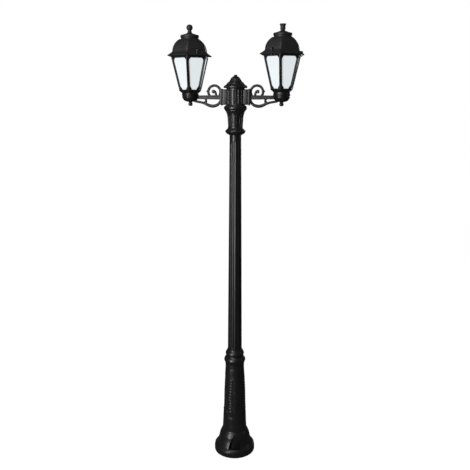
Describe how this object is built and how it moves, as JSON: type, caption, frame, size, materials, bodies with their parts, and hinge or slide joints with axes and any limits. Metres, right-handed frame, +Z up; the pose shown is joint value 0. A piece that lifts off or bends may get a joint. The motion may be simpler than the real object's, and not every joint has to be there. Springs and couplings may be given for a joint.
{
  "type": "street lamp post",
  "caption": "Tall fluted lamp post on a round anchored foot, with scrolled side arms that carry six-sided opal lanterns with hinged domed roofs.",
  "frame": {"origin": "on the ground, at the centre of the foot's anchor hole circle", "axes": "+Z up the pole, X along the two arms, -Y the front, which has an anchor niche"},
  "size_m": [0.6477, 0.2308, 2.2001],
  "materials": {
    "black_casting": "black granular powder coat, semi-gloss",
    "black_screws": "blackened",
    "steel": "zinc plated",
    "brass": "bright",
    "rubber": "matte",
    "cable_sheath": "satin",
    "black_plastic": "matte",
    "white_plastic": "satin",
    "opal": "opal, satin",
    "ceramic": "unglazed white",
    "bulb_glass": "pearl"
  },
  "bodies": {
    "post": {"base_casting": "black_casting", "base_collar": "black_casting", "pole_shaft": "black_casting", "neck_casting": "black_casting", "hub_body": "black_casting", "hub_gasket": "rubber", "hub_cap": "black_casting", "cap_screws": "black_screws", "section_screws": "black_screws", "tie_plate": "steel", "tie_rod": "steel", "tie_washers": "steel", "tie_nuts": "steel", "earth_screw": "brass", "supply_connector": "black_plastic", "riser_cable": "cable_sheath", "terminal_bracket": "steel", "terminal_block": "white_plastic", "arm_bolts": "steel", "arm_left": "black_casting", "arm_gasket_left": "rubber", "lead_left": "cable_sheath", "drop_knob_left": "black_casting", "arm_right": "black_casting", "arm_gasket_right": "rubber", "lead_right": "cable_sheath", "drop_knob_right": "black_casting"},
    "lantern_left": {"frame_left": "black_casting", "diffuser_left": "opal", "stem_left": "steel", "stem_nuts_left": "steel", "lampholder_left": "ceramic", "bulb_cap_left": "brass", "bulb_glass_left": "bulb_glass", "roof_gasket_left": "rubber", "hinge_pin_left": "steel"},
    "lid_left": {"roof_left": "black_casting", "roof_cap_left": "black_casting", "roof_nut_left": "steel", "finial_left": "black_casting"},
    "screw_left": {"thumbscrew_left": "black_screws"},
    "lantern_right": {"frame_right": "black_casting", "diffuser_right": "opal", "stem_right": "steel", "stem_nuts_right": "steel", "lampholder_right": "ceramic", "bulb_cap_right": "brass", "bulb_glass_right": "bulb_glass", "roof_gasket_right": "rubber", "hinge_pin_right": "steel"},
    "lid_right": {"roof_right": "black_casting", "roof_cap_right": "black_casting", "roof_nut_right": "steel", "finial_right": "black_casting"},
    "screw_right": {"thumbscrew_right": "black_screws"}
  },
  "joints": [
    {"name": "lantern_turn_left", "type": "hinge", "parent": "post", "child": "lantern_left", "pos_m": [-0.221, 0, 1.884], "axis": [0, 0, 1], "range_deg": [-90, 90]},
    {"name": "roof_hinge_left", "type": "hinge", "parent": "lantern_left", "child": "lid_left", "pos_m": [-0.18225, 0.08234, 2.05], "axis": [-0.9048, 0.4258, 0], "range_deg": [0, 100]},
    {"name": "thumbscrew_turn_left", "type": "hinge", "parent": "lid_left", "child": "screw_left", "pos_m": [-0.17049, -0.07267, 2.0685], "axis": [0, 0, 1], "continuous": true},
    {"name": "lantern_turn_right", "type": "hinge", "parent": "post", "child": "lantern_right", "pos_m": [0.221, 0, 1.889], "axis": [0, 0, 1], "range_deg": [-90, 90]},
    {"name": "roof_hinge_right", "type": "hinge", "parent": "lantern_right", "child": "lid_right", "pos_m": [0.31198, -0.00191, 2.055], "axis": [0.0209, 0.9998, 0], "range_deg": [0, 100]},
    {"name": "thumbscrew_turn_right", "type": "hinge", "parent": "lid_right", "child": "screw_right", "pos_m": [0.17515, -0.0757, 2.0735], "axis": [0, 0, 1], "continuous": true}
  ]
}
